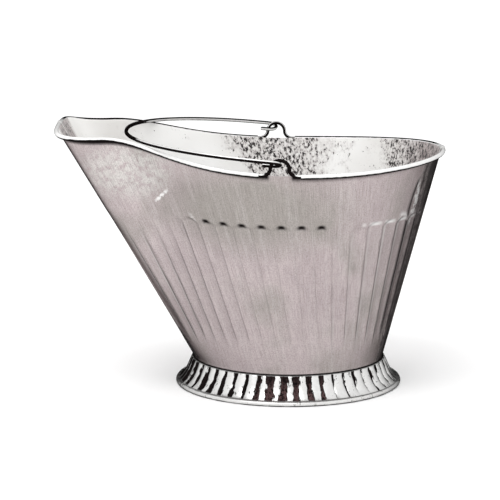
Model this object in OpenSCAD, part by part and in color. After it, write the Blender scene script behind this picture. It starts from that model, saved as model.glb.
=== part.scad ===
// Coal hod in galvanised sheet, with a wired rim, a crimped foot and a wire bail.
// Millimetres. +Z is up, the spout points along -X and the near side is -Y.
// The origin is on the floor, under the middle of the hod's length.

/* [Mouth] */
// Radius of the round rear of the mouth, to the centre of the rim wire
mouth_r = 157.5; // [145:0.5:170]
// How far the mouth's centre lies behind the foot's centre
mouth_shift = 10.5; // [0:0.5:20]
// Height of the rim wire where the rim is lowest
rim_z = 251; // [235:1:270]
// Height that the rim gains towards the rear
rear_rise = 8.5; // [0:0.5:16]

/* [Spout] */
// Distance from the foot's centre to the rim wire at the lip
spout_reach = 250; // [240:1:265]
// Distance from the foot's centre to the place where the spout's sides start to widen
spout_join = 199.5; // [190:0.5:210]
// Half width of the spout at that place
spout_half = 88; // [80:1:100]
// Height of the rim wire at that place
spout_z = 280.5; // [270:0.5:292]
// Height of the rim wire at the middle of the lip
lip_z = 287; // [275:1:297]
// How far the lip's pull straight across reaches from its middle
lip_flat = 92; // [60:1:100]
// Length of the lip's corner curve
lip_corner = 49.5; // [35:0.5:60]
// How far the spout's side runs on before it turns out to the bowl
side_lead = 51; // [30:1:70]
// How far ahead of the mouth's centre the side turns in
side_trail = 127; // [100:1:140]
// Outward turn of the side at the join
side_turn = 1.6; // [0:0.2:10]
// Rise of the rim just behind the join
side_rise = 1.6; // [-8:0.2:6]

/* [Body sheet] */
// Outer radius of the body at the foot's collar
base_r = 104.5; // [95:0.5:112]
// Thickness of the galvanised sheet
sheet_t = 0.6; // [0.5:0.1:1]
// Height of the body's lower edge, inside the foot
skirt_z = 17; // [14:0.5:20]
// Gap between two sheets that lie on each other
sheet_gap = 0.1; // [0.05:0.05:0.2]

/* [Flutes] */
// Number of flutes on each half
flute_count = 25; // [15:1:30]
// Depth of a flute
flute_depth = 1.3; // [0.5:0.1:3]
// Height at which the flutes start
flute_low_z = 52; // [45:1:80]
// Distance from the rim wire down to the flutes' upper ends, where the rim is lowest
flute_drop = 53; // [40:1:80]
// Share of the rim's rise that the flutes' upper ends follow
flute_follow = 0.3; // [0:0.05:0.8]
// Length over which a flute's lower end runs out
flute_low_ease = 24; // [10:1:40]
// Length over which a flute's upper end runs out
flute_top_ease = 4; // [3:0.5:15]

/* [Rim wire and ears] */
// Diameter of the rim wire
rim_wire_d = 3.8; // [3.4:0.1:5]
// Angle through which the sheet's edge is curled round the rim wire
curl_turn = 285; // [240:5:300]
// Distance of the ears ahead of the foot's centre
ear_ahead = 12; // [0:1:30]
// Height of an ear, from the rim wire's centre to the top's centre
ear_rise = 18; // [16:0.5:24]
// Half width of an ear, to the wire's centre
ear_half = 9.8; // [8:0.1:12]
// Length along the rim over which an ear bends up from it
ear_foot_len = 10; // [6:0.5:13]
// Length past the ear's bends over which the sheet is notched
ear_relief = 2; // [1:0.5:6]

/* [Bottom and foot] */
// Height of the foot's upper edge
foot_h = 30.5; // [26:0.5:36]
// Radius of the foot's wired edge, to the wire's centre
foot_wire_ring_r = 122; // [118:0.2:130]
// Diameter of the wire in the foot's edge
foot_wire_d = 3.4; // [2.6:0.1:4]
// Thickness of the foot's sheet
foot_t = 0.7; // [0.5:0.1:1]
// Number of crimps round the foot
crimp_count = 50; // [30:1:56]
// Depth of a crimp
crimp_depth = 2.6; // [0.5:0.1:3]
// How far the crimped ridges stand out below the collar
shoulder = 2.6; // [1.5:0.1:4]
// Outward flare of the crimped band
band_flare = 8; // [4:0.5:10]
// Height of the crimped band's lower end
band_low_z = 11; // [9:0.5:14]
// Height of the bottom disc's upper face
bottom_z = 26; // [23:0.5:28]

/* [Bail] */
// Diameter of the bail wire
bail_wire_d = 4.4; // [3.6:0.1:5]
// Reach of the bail from its hinge line to the wire's centre
bail_reach = 166; // [150:1:175]
// Squareness of the bail's curve, where 2 is an ellipse
bail_square = 2.2; // [2:0.05:2.8]
// Sideways distance from the ear to the bail's leg, centre to centre
hook_spread = 7.4; // [7:0.1:9]
// Distance that the bail's leg lies above its hinge line
hook_lift = 2.6; // [1:0.1:3]
// Length of the hook's return leg
hook_len = 18; // [12:1:30]
// How far the bail bows up from a straight line between its hinge and its tip
bail_bow = 0.5; // [0:0.5:6]
// Running gap between the bail and the ears it hangs from
bail_gap = 0.5; // [0.4:0.05:0.8]
// Gap that is left between the lying bail and the rim
rest_gap = 0.3; // [0.2:0.05:0.6]

/* [Smoothness] */
// Steps along each flute's width
flute_steps = 4; // [4:4:12]
// Sides of the wires
wire_sides = 8; // [8:2:16]
// Steps round the sheet's curl
curl_steps = 7; // [6:1:12]
// Facets of the exact round pieces
round_facets = 128; // [48:8:200]

/* [Hidden] */
foot_x = (spout_reach - mouth_shift - mouth_r) / 2;
sheet_color = [0.72, 0.70, 0.70];
bright_color = [0.86, 0.86, 0.85];
wire_color = [0.62, 0.62, 0.62];
curl_r = (rim_wire_d / 2 + sheet_gap) / cos(curl_turn / curl_steps / 2) + sheet_t / 2;
bead_r = curl_r + sheet_t / 2;
joggle = sheet_t + sheet_gap;

// Small vector helpers
function unit(v) = v / norm(v);
function mix(a, b, s) = a + (b - a) * s;
function clamp01(s) = min(1, max(0, s));
function smooth(s) = let (c = clamp01(s)) c * c * (3 - 2 * c);
function flip_y(p) = [p[0], -p[1], p[2]];
function cubic(p, s) =
    pow(1 - s, 3) * p[0] + 3 * pow(1 - s, 2) * s * p[1] + 3 * (1 - s) * s * s * p[2] + pow(s, 3) * p[3];
function running_sum(v, i = 0, total = 0) =
    i == len(v) ? [total] : concat([total], running_sum(v, i + 1, total + v[i]));

// Centre line of the rim wire on the near side, from the lip round to the rear.
// The foot's centre is x = 0 here. It has a lip curve, a side curve and a quarter circle.
join_pt = [-spout_join, -spout_half, spout_z];
join_dir = [1, -side_turn / side_lead, side_rise / side_lead];
lip_curve = [
    [-spout_reach, 0, lip_z],
    [-spout_reach, -lip_flat, lip_z],
    join_pt - lip_corner * join_dir,
    join_pt
];
side_curve = [
    join_pt,
    join_pt + side_lead * join_dir,
    [mouth_shift - side_trail, -mouth_r, rim_z - 1.5],
    [mouth_shift, -mouth_r, rim_z]
];
curve_steps = 40;
rim_line = concat(
    [for (i = [0 : curve_steps - 1]) cubic(lip_curve, i / curve_steps)],
    [for (i = [0 : curve_steps - 1]) cubic(side_curve, i / curve_steps)],
    [for (i = [0 : curve_steps])
        let (a = 90 * i / curve_steps)
        [mouth_shift + mouth_r * sin(a), -mouth_r * cos(a), rim_z + rear_rise * pow(sin(a), 2)]]
);
rim_sums = running_sum([for (i = [1 : len(rim_line) - 1]) norm(rim_line[i] - rim_line[i - 1])]);
rim_half_len = rim_sums[len(rim_sums) - 1];
rim_x = [for (i = [0 : len(rim_line) - 1]) [rim_sums[i], rim_line[i][0]]];
rim_y = [for (i = [0 : len(rim_line) - 1]) [rim_sums[i], rim_line[i][1]]];
rim_h = [for (i = [0 : len(rim_line) - 1]) [rim_sums[i], rim_line[i][2]]];

// Point of the rim wire's line at a share of the near side's length.
// Shares below 0 and above 1 run on round the far side.
function rim_at(s) =
    s < 0 ? flip_y(rim_at(-s)) :
    s > 1 ? flip_y(rim_at(2 - s)) :
    let (d = s * rim_half_len) [lookup(d, rim_x), lookup(d, rim_y), lookup(d, rim_h)];
function rim_dir(s) = unit(rim_at(s + 0.004) - rim_at(s - 0.004));

// Point of the body's base circle that belongs to the same share, and its direction
base_mid_r = base_r - sheet_t / 2;
function base_at(s) = [-base_mid_r * cos(180 * s), -base_mid_r * sin(180 * s), foot_h];
function base_dir(s) = [sin(180 * s), -cos(180 * s), 0];

// The wall's straight line at a share: its direction up, and the outward normal at its two ends
function wall_up(s) = unit(rim_at(s) - base_at(s));
function rim_out(s) = unit(cross(rim_dir(s), wall_up(s)));
function wall_top(s) = rim_at(s) - curl_r * rim_out(s);
function wall_low(s) = base_at(s);

// Shallow scoop of a flute across its width, 0 on the ridges and 1 in the middle
function scoop(s) = let (w = abs(s) * flute_count, c = w - floor(w)) sqrt(max(0, sin(180 * c)));

// Middle surface of the wall at a share and a height, pressed in along the flutes
flute_top_z = rim_z - flute_drop;
function flute_end_z(s) = flute_top_z + flute_follow * (rim_at(s)[2] - rim_z);
function wall_at(s, h, depth, inset) =
    let (
        low = wall_low(s),
        top = wall_top(s),
        k = (h - low[2]) / (top[2] - low[2]),
        out = unit(cross(mix(base_dir(s), rim_dir(s), clamp01(k)), unit(top - low)))
    )
    [mix(low, top, k) - (depth * scoop(s) + inset) * out, out];

// Rows of the wall from its lower edge to the rim, each a point and its outward normal
function wall_rows(s, inset) =
    let (end_z = flute_end_z(s), out0 = [-cos(180 * s), -sin(180 * s), 0])
    [
        [base_at(s) - [0, 0, foot_h - skirt_z] - inset * out0, out0],
        [base_at(s) - inset * out0, out0],
        wall_at(s, flute_low_z, 0, inset),
        wall_at(s, flute_low_z + flute_low_ease, flute_depth, inset),
        wall_at(s, end_z - flute_top_ease, flute_depth, inset),
        wall_at(s, end_z, 0, inset)
    ];

// Rows of the curl, turned about the rim wire from its inner side over the top
function curl_rows(s, inset) =
    let (c = rim_at(s), up = cross(rim_out(s), rim_dir(s)))
    [for (j = [0 : curl_steps])
        let (a = 180 - curl_turn * j / curl_steps, n = cos(a) * rim_out(s) + sin(a) * up)
        [c + (curl_r + inset) * n, -n]];

// The near half's edge laps over the far half's by a quarter of a flute.
// The far half is inset where it passes under that edge.
lap_share = 0.25 / flute_count;
function lap_inset(s, side) =
    let (d = min(s, 1 - s) / lap_share)
    side < 0 ? 0 : joggle * (1 - smooth(d - 1));

// Shares of the stations along one half: the laps, the notch's edges and the flutes
ear_share = let (
        picks = [for (i = [2 * curve_steps - 1 : -1 : curve_steps]) if (rim_line[i][0] <= -ear_ahead) i],
        i = picks[0],
        k = (-ear_ahead - rim_line[i][0]) / (rim_line[i + 1][0] - rim_line[i][0])
    ) (rim_sums[i] + k * (rim_sums[i + 1] - rim_sums[i])) / rim_half_len;
notch_half = (ear_half + ear_foot_len + ear_relief) / rim_half_len;
notch_from = ear_share - notch_half;
notch_to = ear_share + notch_half;
step_share = 1 / (flute_count * flute_steps);
function near_notch(s) = abs(s - notch_from) < step_share / 3 || abs(s - notch_to) < step_share / 3;
stations = concat(
    [-lap_share, 0],
    [for (i = [1 : floor(notch_from / step_share)]) if (!near_notch(i * step_share)) i * step_share],
    [notch_from],
    [for (i = [ceil(notch_from / step_share) : floor(notch_to / step_share)])
        if (!near_notch(i * step_share)) i * step_share],
    [notch_to],
    [for (i = [ceil(notch_to / step_share) : flute_count * flute_steps - 1])
        if (!near_notch(i * step_share)) i * step_share],
    [1, 1 + lap_share]
);

// One half of the body. The grid of the sheet has an outer and an inner skin, and where
// the curl is notched for an ear its cells are left out.
module half_shell(side) {
    cols = len(stations);
    grid = [for (s = stations) concat(wall_rows(s, lap_inset(s, side)), curl_rows(s, lap_inset(s, side)))];
    rows = len(grid[0]);
    wall_cells = len(wall_rows(0, 0));
    hand = side < 0 ? [1, 1, 1] : [1, -1, 1];
    function place(p) = [p[0] * hand[0], p[1] * hand[1], p[2]];
    skin = cols * rows;
    points = concat(
        [for (c = grid) for (r = c) place(r[0] + r[1] * sheet_t / 2)],
        [for (c = grid) for (r = c) place(r[0] - r[1] * sheet_t / 2)]
    );
    function open_cell(i, j) =
        i < 0 || j < 0 || i > cols - 2 || j > rows - 2
        || (j >= wall_cells && stations[i] > notch_from - 1e-6 && stations[i + 1] < notch_to + 1e-6);
    function id(i, j) = i * rows + j;
    cells = [for (i = [0 : cols - 2]) for (j = [0 : rows - 2]) if (!open_cell(i, j)) [i, j]];
    function wall(a, b) = [[a, b, b + skin], [a, b + skin, a + skin]];
    // The two halves split their cells the opposite way, so that they stay parallel where they lap
    function split(a, b, c, d) = side < 0 ? [[a, b, c], [a, c, d]] : [[b, c, d], [b, d, a]];
    faces = concat(
        [for (c = cells) each split(
            id(c[0], c[1]), id(c[0], c[1] + 1), id(c[0] + 1, c[1] + 1), id(c[0] + 1, c[1]))],
        [for (c = cells) each split(
            skin + id(c[0], c[1]), skin + id(c[0] + 1, c[1]),
            skin + id(c[0] + 1, c[1] + 1), skin + id(c[0], c[1] + 1))],
        [for (c = cells) if (open_cell(c[0], c[1] - 1)) each wall(id(c[0], c[1]), id(c[0] + 1, c[1]))],
        [for (c = cells) if (open_cell(c[0], c[1] + 1))
            each wall(id(c[0] + 1, c[1] + 1), id(c[0], c[1] + 1))],
        [for (c = cells) if (open_cell(c[0] - 1, c[1])) each wall(id(c[0], c[1] + 1), id(c[0], c[1]))],
        [for (c = cells) if (open_cell(c[0] + 1, c[1]))
            each wall(id(c[0] + 1, c[1]), id(c[0] + 1, c[1] + 1))]
    );
    turned = side < 0 ? faces : [for (f = faces) [f[0], f[2], f[1]]];
    translate([foot_x, 0, 0]) polyhedron(points = points, faces = turned);
}

module near_shell() {
    color(sheet_color) half_shell(-1);
}

module far_shell() {
    color(sheet_color) half_shell(1);
}

// A round tube along a line of points, with a list of side vectors that the sections turn to
module wire_tube(line, sides_out, wire_r, closed) {
    n = len(line);
    function ahead(i) = line[closed ? (i + 1) % n : min(n - 1, i + 1)];
    function behind(i) = line[closed ? (i + n - 1) % n : max(0, i - 1)];
    rings = [for (i = [0 : n - 1])
        let (
            t = unit(ahead(i) - behind(i)),
            e1 = unit(sides_out[i] - (sides_out[i] * t) * t),
            e2 = cross(t, e1)
        )
        each [for (k = [0 : wire_sides - 1])
            let (a = 360 * (k + 0.5) / wire_sides) line[i] + wire_r * (cos(a) * e1 + sin(a) * e2)]];
    spans = closed ? n : n - 1;
    skin = [for (i = [0 : spans - 1]) for (k = [0 : wire_sides - 1])
        let (
            a = i * wire_sides,
            b = ((i + 1) % n) * wire_sides,
            m = (k + 1) % wire_sides
        )
        each [[a + k, b + m, a + m], [a + k, b + k, b + m]]];
    caps = closed ? [] : [
        [for (k = [0 : wire_sides - 1]) k],
        [for (k = [wire_sides - 1 : -1 : 0]) (n - 1) * wire_sides + k]
    ];
    polyhedron(points = rings, faces = concat(skin, caps));
}

// Shape of an ear: distance along the rim and rise above it.
// A quarter ellipse up from the rim, a round top and the same down again.
ear_leg_z = ear_rise - ear_half;
bend_steps = 4;
function ear_bend(hand, a) = [hand * (ear_half + ear_foot_len * (1 - sin(a))), ear_leg_z * (1 - cos(a))];
ear_outline = concat(
    [for (i = [0 : bend_steps]) ear_bend(-1, 90 * i / bend_steps)],
    [for (i = [1 : 2 * bend_steps - 1])
        let (a = 180 - 180 * i / (2 * bend_steps)) [ear_half * cos(a), ear_leg_z + ear_half * sin(a)]],
    [for (i = [bend_steps : -1 : 0]) ear_bend(1, 90 * i / bend_steps)]
);
// An ear stands square to the rim and leans out with the wall
ear_up = cross(rim_out(ear_share), rim_dir(ear_share));
function wire_station(s, rise) = [rim_at(s) + rise * ear_up, rim_out(s)];
near_wire = concat(
    [for (s = stations) if (s >= 0 && s <= notch_from) wire_station(s, 0)],
    [for (p = ear_outline) wire_station(ear_share + p[0] / rim_half_len, p[1])],
    [for (s = stations) if (s >= notch_to && s <= 1) wire_station(s, 0)]
);

module rim_wire() {
    far_wire = [for (i = [len(near_wire) - 2 : -1 : 1]) [flip_y(near_wire[i][0]), flip_y(near_wire[i][1])]];
    loop = concat(near_wire, far_wire);
    color(bright_color) translate([foot_x, 0, 0])
        wire_tube([for (p = loop) p[0]], [for (p = loop) p[1]], rim_wire_d / 2, true);
}

// The bottom is a flat disc with its edge turned down inside the body's lower edge
module bottom_disc() {
    disc_r = base_r - sheet_t - joggle - sheet_gap;
    color(bright_color) translate([foot_x, 0, 0]) rotate_extrude($fn = round_facets)
        polygon([
            [0, bottom_z - sheet_t],
            [disc_r - sheet_t, bottom_z - sheet_t],
            [disc_r - sheet_t, skirt_z],
            [disc_r, skirt_z],
            [disc_r, bottom_z],
            [0, bottom_z]
        ]);
}

// Profile of the foot ring's middle surface from the collar to the rolled edge.
// Each entry is a radius, a height, a share of the crimp's depth and the slope of the outward normal.
roll_step = 60;
roll_r = (foot_wire_d / 2 + sheet_gap) / cos(roll_step / 2) + foot_t / 2;
roll_z = (roll_r + foot_t / 2) * cos(roll_step / 2);
collar_r = base_r + sheet_gap + foot_t / 2;
band_top_r = collar_r + shoulder;
band_low_r = band_top_r + band_flare;
shoulder_drop = 3.2;
foot_rows = [
    [collar_r, foot_h, 0, 60],
    [band_top_r, foot_h - shoulder_drop, 0.9, 25],
    [mix(band_top_r, band_low_r, 0.4), mix(foot_h - shoulder_drop, band_low_z, 0.6), 1, 25],
    [band_low_r, band_low_z, 0.6, 40]
];
roll_rows = [for (a = [120 : -roll_step : -120])
    [foot_wire_ring_r + roll_r * cos(a), roll_z + roll_r * sin(a), 0, a]];

// The foot ring: the profile carried round, with a rounded ridge at each crimp
module foot_ring() {
    crimp_steps = 4;
    cols = crimp_count * crimp_steps;
    profile = concat(foot_rows, roll_rows);
    rows = len(profile);
    function ridge(i) = let (c = i / crimp_steps - floor(i / crimp_steps)) 1 - sqrt(max(0, sin(180 * c)));
    function foot_pt(i, row, off) =
        let (
            a = 360 * i / cols,
            r = row[0] - crimp_depth * row[2] * ridge(i) + off * cos(row[3]),
            z = row[1] + off * sin(row[3])
        )
        [r * cos(a), r * sin(a), z];
    skin = cols * rows;
    points = concat(
        [for (i = [0 : cols - 1]) for (row = profile) foot_pt(i, row, foot_t / 2)],
        [for (i = [0 : cols - 1]) for (row = profile) foot_pt(i, row, -foot_t / 2)]
    );
    function id(i, j) = (i % cols) * rows + j;
    faces = concat(
        [for (i = [0 : cols - 1]) for (j = [0 : rows - 2]) each [
            [id(i, j), id(i + 1, j), id(i + 1, j + 1)],
            [id(i, j), id(i + 1, j + 1), id(i, j + 1)]]],
        [for (i = [0 : cols - 1]) for (j = [0 : rows - 2]) each [
            [skin + id(i, j), skin + id(i + 1, j + 1), skin + id(i + 1, j)],
            [skin + id(i, j), skin + id(i, j + 1), skin + id(i + 1, j + 1)]]],
        [for (i = [0 : cols - 1]) each [
            [id(i, 0), skin + id(i, 0), skin + id(i + 1, 0)],
            [id(i, 0), skin + id(i + 1, 0), id(i + 1, 0)]]],
        [for (i = [0 : cols - 1]) each [
            [id(i, rows - 1), id(i + 1, rows - 1), skin + id(i + 1, rows - 1)],
            [id(i, rows - 1), skin + id(i + 1, rows - 1), skin + id(i, rows - 1)]]]
    );
    color(bright_color) translate([foot_x, 0, 0]) polyhedron(points = points, faces = faces);
}

module foot_wire() {
    color(wire_color) translate([foot_x, 0, roll_z]) rotate_extrude($fn = round_facets)
        translate([foot_wire_ring_r, 0]) circle(d = foot_wire_d, $fn = 24);
}

// The bail's hinge line runs across the hod just under the tops of the two ears
ear_top = rim_at(ear_share) + ear_rise * ear_up;
hinge_z = ear_top[2] - (rim_wire_d + bail_wire_d) / 2 - bail_gap;
hinge_x = ear_top[0];
hook_y = -ear_top[1];
hook_r = norm([hook_spread, hook_lift]);
bail_half = hook_y + hook_spread;
bail_curve_len = bail_reach - hook_r;

// Half width of the bail at a distance ahead of its hinge line
function bail_width(u) =
    bail_half * pow(max(0, 1 - pow(clamp01((u - hook_r) / bail_curve_len), bail_square)), 1 / bail_square);

// Height of the bail's line above a straight one from its hinge to its tip
function bail_lift(u) = let (k = clamp01(u / bail_reach)) hook_lift + 4 * bail_bow * k * (1 - k);

// The rim point that the bail crosses on one side of its hinge line, front or rear, and how far
// above that point the bail must lie to clear the bead. Both lines slant, so it is more than their radii.
function crossing(ahead) =
    let (
        picks = [for (i = [2 : len(rim_line) - 3])
            if ((hinge_x - rim_line[i][0]) * ahead > 20)
                [abs(-rim_line[i][1] - bail_width((hinge_x - rim_line[i][0]) * ahead)), i]],
        least = min([for (p = picks) p[0]]),
        i = [for (p = picks) if (p[0] == least) p[1]][0],
        u = (hinge_x - rim_line[i][0]) * ahead,
        along = unit(rim_line[i + 1] - rim_line[i - 1]),
        bail_dir = unit([-2 * ahead, bail_width(u - 1) - bail_width(u + 1), 0.1]),
        common = unit(cross(along, bail_dir))
    )
    [rim_line[i], (bead_r + bail_wire_d / 2 + rest_gap) / abs(common[2]), u];
rest = crossing(1);
rest_pitch = atan((rest[0][2] + rest[1] - hinge_z - bail_lift(rest[2])) / rest[2]);

// The bail's line in its own frame: distance ahead, sideways and above the hinge line
hook_turn_steps = 8;
return_steps = 2;
arc_steps = 48;
bail_hook = concat(
    [for (i = [0 : return_steps - 1])
        [mix(hook_len, hook_r, i / return_steps), hook_y - hook_spread, -hook_lift]],
    [for (i = [0 : hook_turn_steps])
        let (a = 180 - 180 * i / hook_turn_steps)
        [
            hook_r - hook_r * sin(a),
            hook_y + hook_spread * cos(a),
            hook_lift * cos(a)
        ]]
);
bail_arc = [for (i = [1 : arc_steps - 1])
    let (
        a = 90 - 180 * i / arc_steps,
        ca = pow(abs(cos(a)), 2 / bail_square),
        sa = pow(abs(sin(a)), 2 / bail_square) * sign(a)
    )
    [hook_r + bail_curve_len * ca, bail_half * sa, bail_lift(hook_r + bail_curve_len * ca)]];
bail_line = concat(
    bail_hook,
    bail_arc,
    [for (i = [len(bail_hook) - 1 : -1 : 0]) let (p = bail_hook[i]) [p[0], -p[1], p[2]]]
);
function bail_place(p) = [
    hinge_x - p[0] * cos(rest_pitch) + p[2] * sin(rest_pitch),
    p[1],
    hinge_z + p[0] * sin(rest_pitch) + p[2] * cos(rest_pitch)
];

// The sections turn to a direction that is square to the bail's plane but for a slight lean,
// which keeps it from lying along the hook's turn
module bail() {
    lean = 0.02;
    up = [sin(rest_pitch), lean, cos(rest_pitch)];
    color(wire_color) translate([foot_x, 0, 0])
        wire_tube([for (p = bail_line) bail_place(p)], [for (p = bail_line) up], bail_wire_d / 2, false);
}

near_shell();
far_shell();
rim_wire();
bottom_disc();
foot_ring();
foot_wire();
bail();
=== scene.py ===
"""The looks of a galvanised coal hod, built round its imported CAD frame."""

import math

import bpy
import numpy as np
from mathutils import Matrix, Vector


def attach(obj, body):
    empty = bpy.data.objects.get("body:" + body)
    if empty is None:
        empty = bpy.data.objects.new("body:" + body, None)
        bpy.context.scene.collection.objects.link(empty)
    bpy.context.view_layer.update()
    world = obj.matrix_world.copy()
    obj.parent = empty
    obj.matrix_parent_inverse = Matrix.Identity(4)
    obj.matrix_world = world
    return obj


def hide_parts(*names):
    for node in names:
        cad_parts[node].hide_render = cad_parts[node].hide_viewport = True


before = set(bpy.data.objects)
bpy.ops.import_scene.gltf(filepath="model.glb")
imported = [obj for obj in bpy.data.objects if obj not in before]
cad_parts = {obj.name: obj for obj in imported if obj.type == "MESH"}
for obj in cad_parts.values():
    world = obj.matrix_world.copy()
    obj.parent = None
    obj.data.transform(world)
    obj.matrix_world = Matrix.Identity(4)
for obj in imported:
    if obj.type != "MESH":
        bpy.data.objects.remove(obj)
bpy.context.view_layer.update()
scene = bpy.context.scene

# Sizes in millimetres, as in the part's source. x is counted from the foot's centre.
MM = 0.001
FOOT_X = 41.0
MOUTH_R, MOUTH_SHIFT = 157.5, 10.5
RIM_Z, REAR_RISE = 251.0, 8.5
LIP_CURVE = [(-250, 0, 287), (-250, -92, 287), (-249, -86.447, 278.947), (-199.5, -88, 280.5)]
SIDE_CURVE = [(-199.5, -88, 280.5), (-148.5, -89.6, 282.1), (-116.5, -157.5, 249.5), (10.5, -157.5, 251)]
BASE_R, SHEET_T, FOOT_T, SHEET_GAP = 104.5, 0.6, 0.7, 0.1
SKIRT_HEIGHTS, FOOT_H = (17.0, 22.0, 28.0), 30.5
JOGGLE = SHEET_T + 0.02
FLUTES, FLUTE_DEPTH, FLUTE_LOW, FLUTE_LOW_EASE = 25, 1.3, 52.0, 24.0
FLUTE_DROP, FLUTE_FOLLOW, FLUTE_TOP_EASE, ARCH_RISE = 53.0, 0.3, 4.0, 5.0
RIM_WIRE_R = 1.9
CURL_R, CURL_TURN = RIM_WIRE_R + 0.06 + SHEET_T / 2, 285.0
EAR_X, EAR_RISE, EAR_HALF, EAR_FOOT_LEN, EAR_RELIEF = -12.0, 18.0, 9.8, 10.0, 2.0
FOOT_RING_R, FOOT_WIRE_R, CRIMPS, CRIMP_DEPTH = 122.0, 1.7, 50, 2.6
BAIL_R, BAIL_REACH, BAIL_SQUARE, BAIL_BOW = 2.2, 166.0, 2.2, 0.5
BAIL_SKIN_R, BAIL_PITCH = BAIL_R - 0.2, 4.85579
HOOK_SPREAD, HOOK_LIFT, HOOK_LEN, HOOK_GAP = 7.4, 2.6, 18.0, 0.5

# Steps of the grids
RIM_STEPS, WIRE_SIDES = 300, 32
PER_FLUTE, PER_CRIMP = 16, 16
SKIRT_ROWS, CURL_ROWS = len(SKIRT_HEIGHTS), 18
SHARP_ANGLE = 50


# Shapes

def cubic(points, steps):
    """Points on a cubic curve: the four control points weighted by the cubic Bernstein shares."""
    t = np.linspace(0, 1, steps)[:, None]
    a, b, c, d = (np.array(p, float) for p in points)
    return (1 - t) ** 3 * a + 3 * (1 - t) ** 2 * t * b + 3 * (1 - t) * t * t * c + t ** 3 * d


def rear_quarter(steps):
    """A quarter circle round the rear of the mouth, rising with the square of the sine."""
    a = np.linspace(0, np.pi / 2, steps)
    x = MOUTH_SHIFT + MOUTH_R * np.sin(a)
    return np.stack([x, -MOUTH_R * np.cos(a), RIM_Z + REAR_RISE * np.sin(a) ** 2], 1)


# The near half of the rim, from the middle of the lip to the middle of the rear. A place on it, or on the
# wall below it, is given as a share of its length.
RIM = np.concatenate([cubic(LIP_CURVE, RIM_STEPS)[:-1], cubic(SIDE_CURVE, RIM_STEPS)[:-1],
                      rear_quarter(RIM_STEPS)])
RIM_SUMS = np.concatenate([[0], np.cumsum(np.linalg.norm(np.diff(RIM, axis=0), axis=1))])
RIM_LEN = RIM_SUMS[-1]
LAP = 0.25 / FLUTES


def unit(v):
    """Vectors divided by their lengths."""
    return v / np.linalg.norm(v, axis=-1, keepdims=True)


def smooth(t):
    """The cubic 3t² - 2t³ between 0 and 1, and level outside."""
    t = np.clip(t, 0, 1)
    return t * t * (3 - 2 * t)


def bell(x, width, power=2):
    """1 where x is 0 and nearly 0 past the width: e to the minus of x over the width, to an even power."""
    return np.exp(-(x / width) ** power)


def scatter(number):
    """A share that jumps about from one whole number to the next: the far digits of a sine."""
    return np.abs(np.sin(number * 12.9898) * 43758.5) % 1.0


def rim_at(s):
    """The rim wire's line at shares s of its near half; shares past either end run on round the far half."""
    s = np.asarray(s, float)
    folded = np.where(s > 1, 2 - s, np.abs(s))
    far = np.where((s < 0) | (s > 1), -1.0, 1.0)
    p = np.stack([np.interp(folded * RIM_LEN, RIM_SUMS, RIM[:, k]) for k in range(3)], -1)
    p[..., 1] *= far
    return p


def rim_dir(s):
    """The direction along the rim, from a short central difference."""
    return unit(rim_at(np.asarray(s) + 0.003) - rim_at(np.asarray(s) - 0.003))


def base_at(s):
    """The body's base circle at shares s of its near half."""
    a = np.pi * np.asarray(s, float)
    r = BASE_R - SHEET_T / 2
    return np.stack([-r * np.cos(a), -r * np.sin(a), np.full_like(a, FOOT_H)], -1)


def rim_out(s):
    """Outward normal of the wall at the rim: across the rim's direction and the wall's straight line."""
    return unit(np.cross(rim_dir(s), unit(rim_at(s) - base_at(s))))


def ear_share():
    """The share of the rim's near half at which x reaches the ear's place."""
    past_spout = RIM[:, 0] > -100
    return np.interp(EAR_X, RIM[past_spout, 0], RIM_SUMS[past_spout]) / RIM_LEN


def ear_up():
    """An ear stands square to the rim and leans out with the wall."""
    s = ear_share()
    return np.cross(rim_out(s), rim_dir(s))


def arc(centre, radius, start, stop, steps):
    """Points on a circle in a plane, between two angles in degrees."""
    a = np.radians(np.linspace(start, stop, steps))
    return np.stack([centre[0] + radius * np.cos(a), centre[1] + radius * np.sin(a)], 1)


def make_mesh(name, points, faces, uv=None, marks=None, kinds=None):
    """Puts points in millimetres and faces into a new object, shaded smooth but for its sharp edges."""
    used, faces_flat = np.unique(faces.reshape(-1), return_inverse=True)
    faces = faces_flat.reshape(faces.shape)
    points = (points[used] + [FOOT_X, 0, 0]) * MM
    mesh = bpy.data.meshes.new(name)
    mesh.from_pydata(points.tolist(), [], faces.tolist())
    if uv is not None:
        layer = mesh.uv_layers.new(name="along")
        layer.data.foreach_set("uv", uv[used][faces.reshape(-1)].astype(np.float32).reshape(-1))
    for key, values in (marks or {}).items():
        spot = mesh.attributes.new(key, "FLOAT", "POINT")
        spot.data.foreach_set("value", values[used].astype(np.float32))
    mesh.polygons.foreach_set("use_smooth", np.ones(len(faces), bool))
    if kinds is not None:
        mesh.polygons.foreach_set("material_index", kinds.astype(np.int32))
    mesh.update()
    mesh.set_sharp_from_angle(angle=math.radians(SHARP_ANGLE))
    piece = bpy.data.objects.new(name, mesh)
    scene.collection.objects.link(piece)
    return piece


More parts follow.
